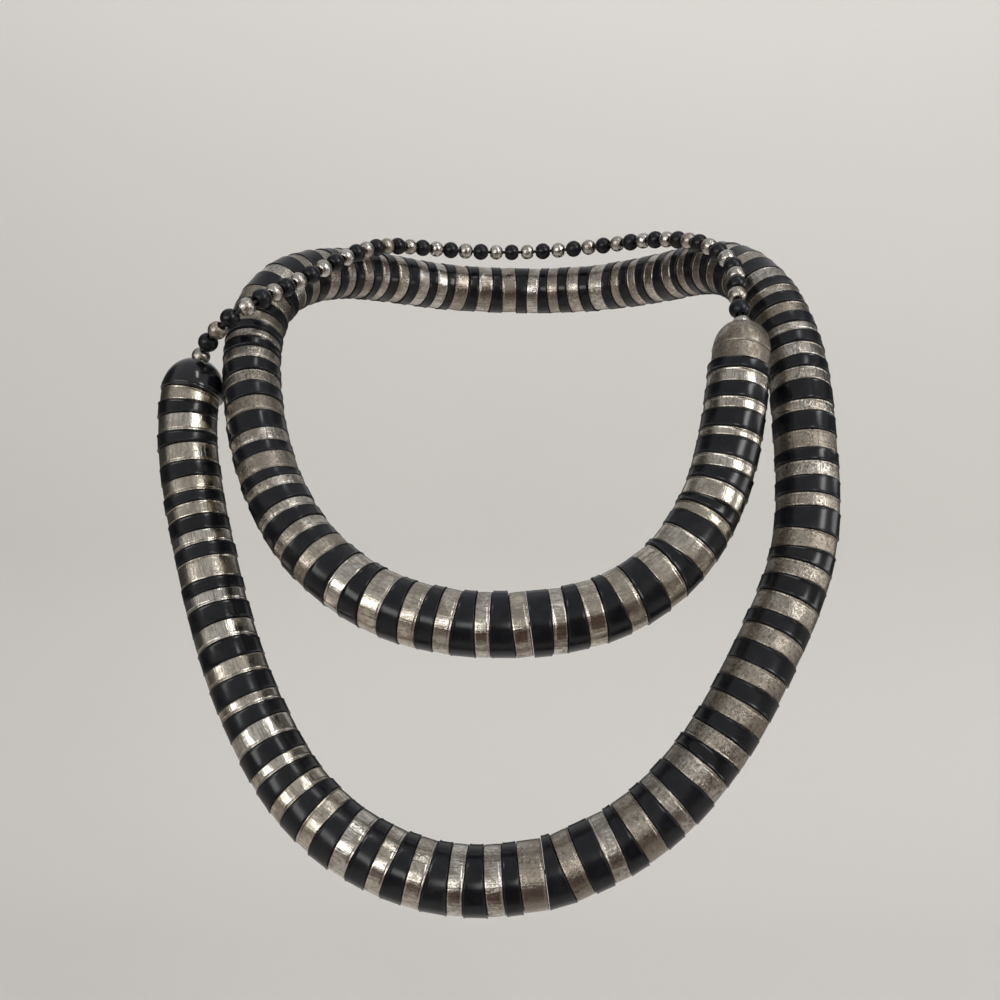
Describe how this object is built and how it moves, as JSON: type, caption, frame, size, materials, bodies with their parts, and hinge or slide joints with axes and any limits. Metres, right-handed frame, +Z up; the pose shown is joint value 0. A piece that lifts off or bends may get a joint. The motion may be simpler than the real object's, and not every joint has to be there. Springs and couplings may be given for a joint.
{
  "type": "disc bead necklace",
  "caption": "Closed necklace worn twice round the neck: a thick rope of black discs and metal rings with a dome and a metal cap at its ends, joined behind the neck by small round beads.",
  "frame": {"origin": "the inner side of the rope at the nape, where it rests on the back of the neck", "axes": "+X towards the wearer's left, +Y towards the back, +Z up; the chest side faces -Y"},
  "size_m": [0.1927, 0.1403, 0.1961],
  "materials": {
    "silver_discs": "worn silver-tone sheet with brown tarnish",
    "black_discs": "satin black",
    "black_end_cap": "polished black",
    "silver_end_cap": "dull tarnished silver tone",
    "silver_beads": "polished with tarnish",
    "black_beads": "polished black",
    "thread": "waxed cord"
  },
  "bodies": {
    "root": {"silver_discs": "silver_discs", "black_discs": "black_discs", "black_end_cap": "black_end_cap", "silver_end_cap": "silver_end_cap", "silver_beads": "silver_beads", "black_beads": "black_beads", "thread": "thread"}
  },
  "joints": []
}
